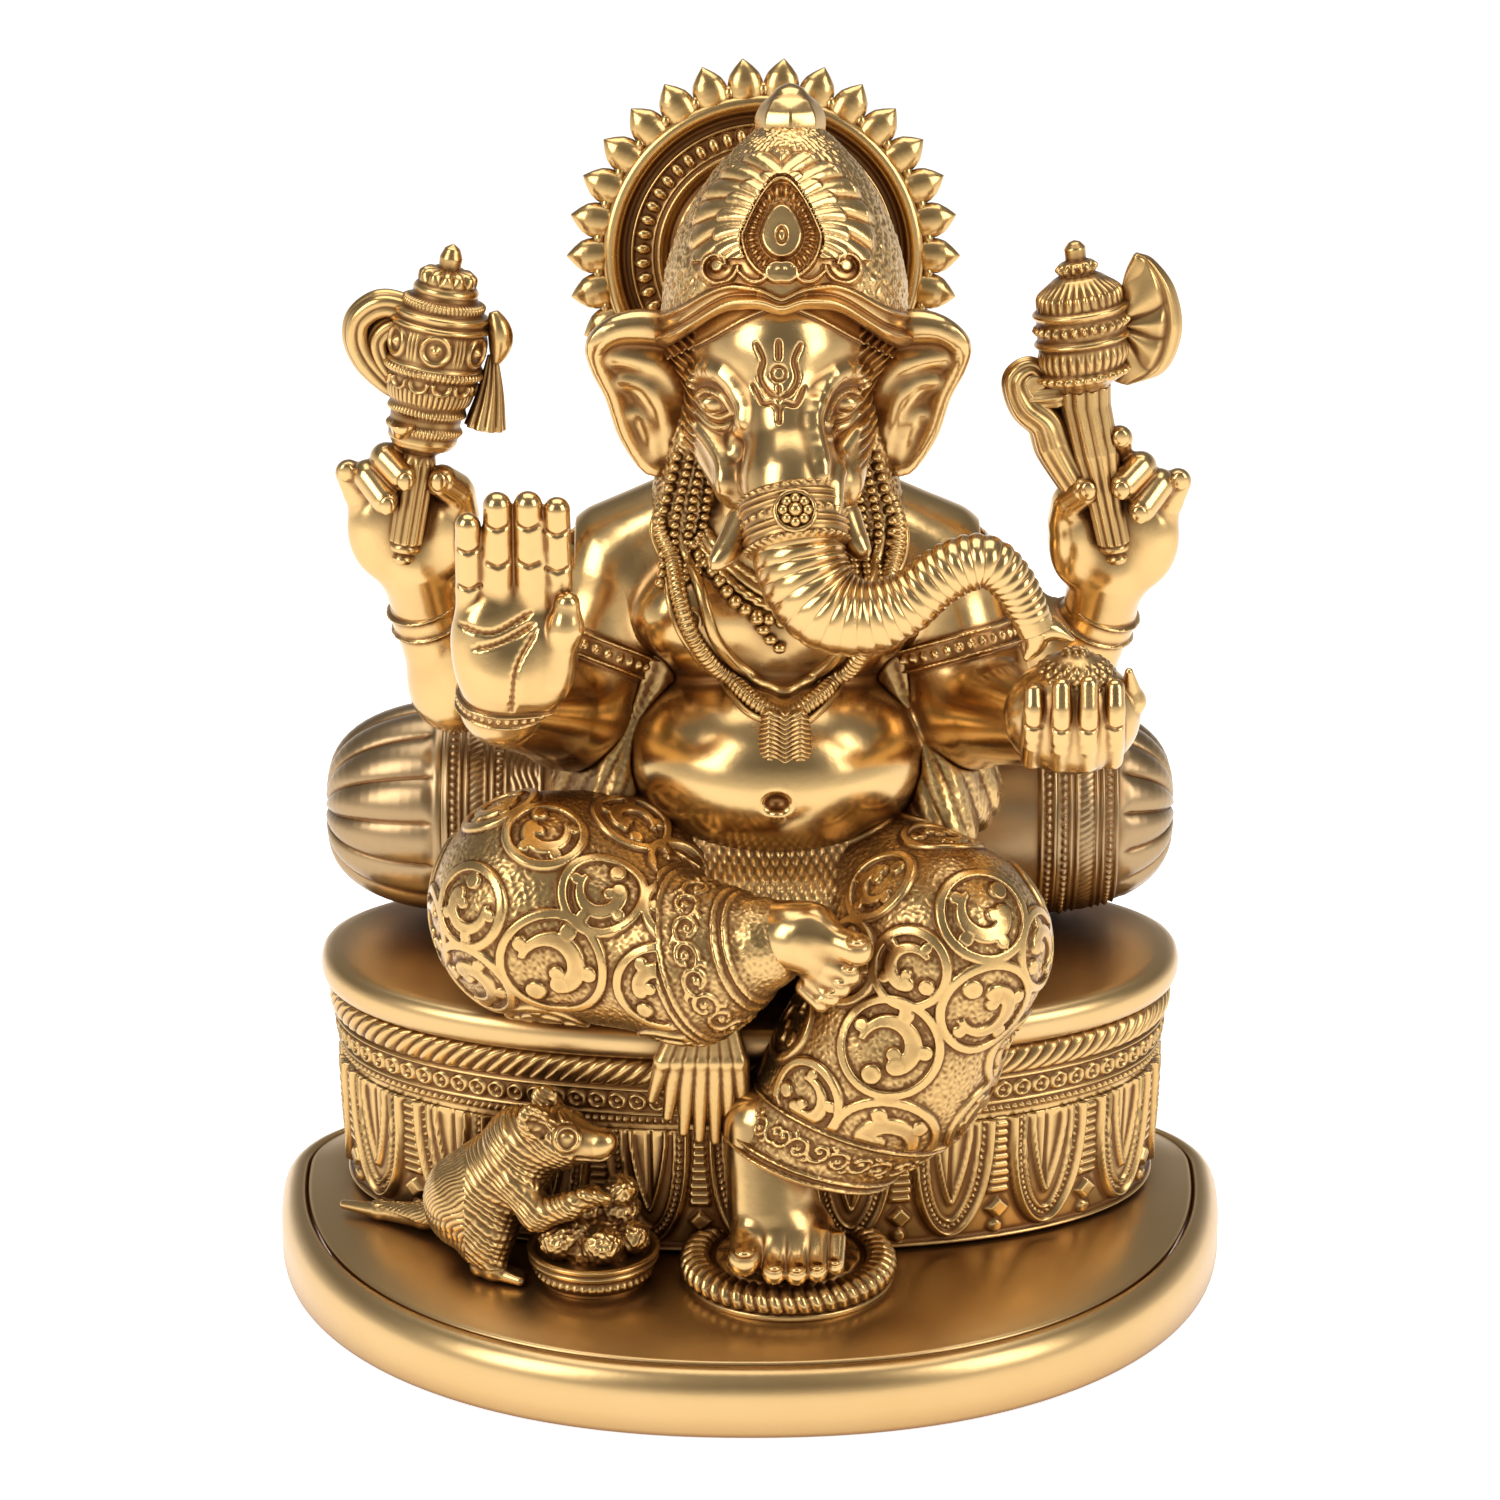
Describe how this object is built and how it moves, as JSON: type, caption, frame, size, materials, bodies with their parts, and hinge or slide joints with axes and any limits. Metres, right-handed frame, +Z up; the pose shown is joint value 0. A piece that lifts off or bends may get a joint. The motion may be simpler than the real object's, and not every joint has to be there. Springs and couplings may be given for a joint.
{
  "type": "brass ganesha idol",
  "caption": "Four-armed elephant-headed deity seated on an oval throne with a bolster and a pierced halo, with a mouse and a bowl of sweets at its foot, in cast brass.",
  "frame": {"origin": "centre of the footprint, on the surface that the base stands on", "axes": "+Z up; the idol faces -Y; +X is the idol's own left"},
  "size_m": [0.208, 0.15, 0.2636],
  "materials": {
    "polished_brass": "polished cast brass, with brown patina in the recesses",
    "dark_brass": "finely chased cast brass under a dark antique patina",
    "bolt_steel": "plain steel bolt"
  },
  "bodies": {
    "root": {"base_bolt_right": "bolt_steel", "base_bolt_left": "bolt_steel", "figure_bolt": "bolt_steel", "halo_screw": "bolt_steel", "base_skirt": "polished_brass", "deck_plate": "polished_brass", "seat_slab": "polished_brass", "bolster_cap_right": "polished_brass", "bolster_cap_left": "polished_brass", "foot_cushion": "polished_brass", "modak_sweet": "polished_brass", "crown_finial": "polished_brass", "front_right_hand": "polished_brass", "front_left_hand": "polished_brass", "rear_right_hand": "polished_brass", "rear_left_hand": "polished_brass", "right_foot": "polished_brass", "left_foot": "polished_brass", "trunk_band": "polished_brass", "head": "polished_brass", "trunk": "polished_brass", "right_tusk": "polished_brass", "left_tusk": "polished_brass", "right_ear": "polished_brass", "left_ear": "polished_brass", "front_right_arm": "polished_brass", "front_left_arm": "polished_brass", "rear_right_arm": "polished_brass", "rear_left_arm": "polished_brass", "torso": "polished_brass", "sweet_bowl": "polished_brass", "mouse": "polished_brass", "throne_drum": "dark_brass", "bolster_body": "dark_brass", "goad": "dark_brass", "axe": "dark_brass", "crown": "dark_brass", "right_leg": "dark_brass", "left_leg": "dark_brass", "waist_wrap": "dark_brass", "hanging_sash": "dark_brass", "halo": "dark_brass", "halo_bracket": "dark_brass", "sweets": "dark_brass"}
  },
  "joints": []
}
